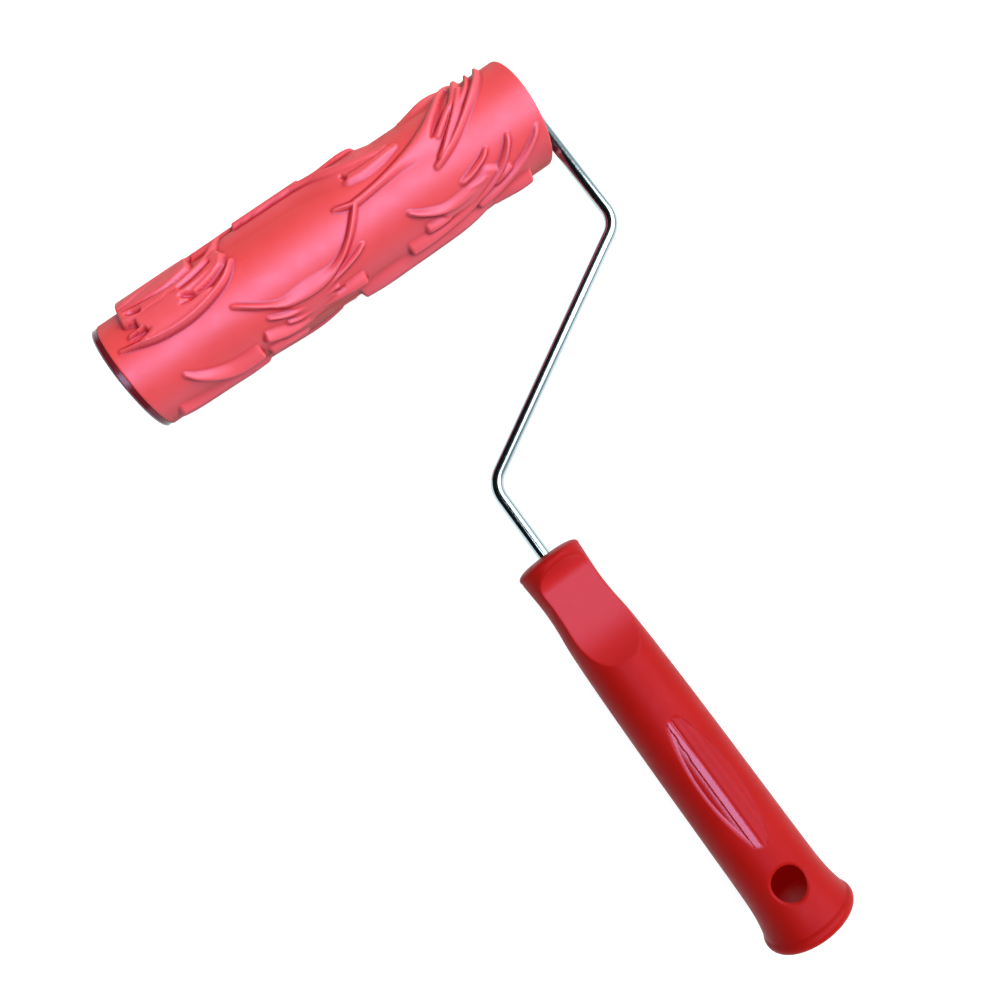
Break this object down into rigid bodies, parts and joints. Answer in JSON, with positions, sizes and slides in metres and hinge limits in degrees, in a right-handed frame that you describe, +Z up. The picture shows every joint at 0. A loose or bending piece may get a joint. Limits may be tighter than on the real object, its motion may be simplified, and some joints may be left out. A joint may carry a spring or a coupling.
{
  "type": "textured pattern roller",
  "caption": "Hand-held pattern roller: an embossed rubber sleeve turns on a bent chrome wire frame with a moulded plastic grip.",
  "frame": {"origin": "on the surface the tool lies on, under the middle of its footprint", "axes": "+X along the roller towards the leg of the wire frame, +Y from the grip to the roller, +Z up, square to the plane of the wire frame"},
  "size_m": [0.187, 0.3276, 0.0491],
  "materials": {
    "pattern_rubber": "satin moulded rubber",
    "tube_plastic": "gloss extruded",
    "cap_plastic": "satin moulded",
    "bush_nylon": "natural moulded",
    "zinc_steel": "zinc plated",
    "chrome_wire": "bright plated",
    "grip_plastic": "satin moulded with a gloss panel"
  },
  "bodies": {
    "frame": {"wire_frame": "chrome_wire", "handle_grip": "grip_plastic", "stop_collar": "zinc_steel", "push_nut": "zinc_steel", "washer_left": "zinc_steel", "washer_right": "zinc_steel"},
    "roller": {"pattern_sleeve": "pattern_rubber", "core_tube": "tube_plastic", "end_cap_left": "cap_plastic", "end_cap_right": "cap_plastic", "bush_left": "bush_nylon", "bush_right": "bush_nylon"}
  },
  "joints": [
    {"name": "roller_spin", "type": "hinge", "parent": "frame", "child": "roller", "pos_m": [-0.00205, 0.13922, 0.02455], "axis": [1, 0, 0], "continuous": true}
  ]
}
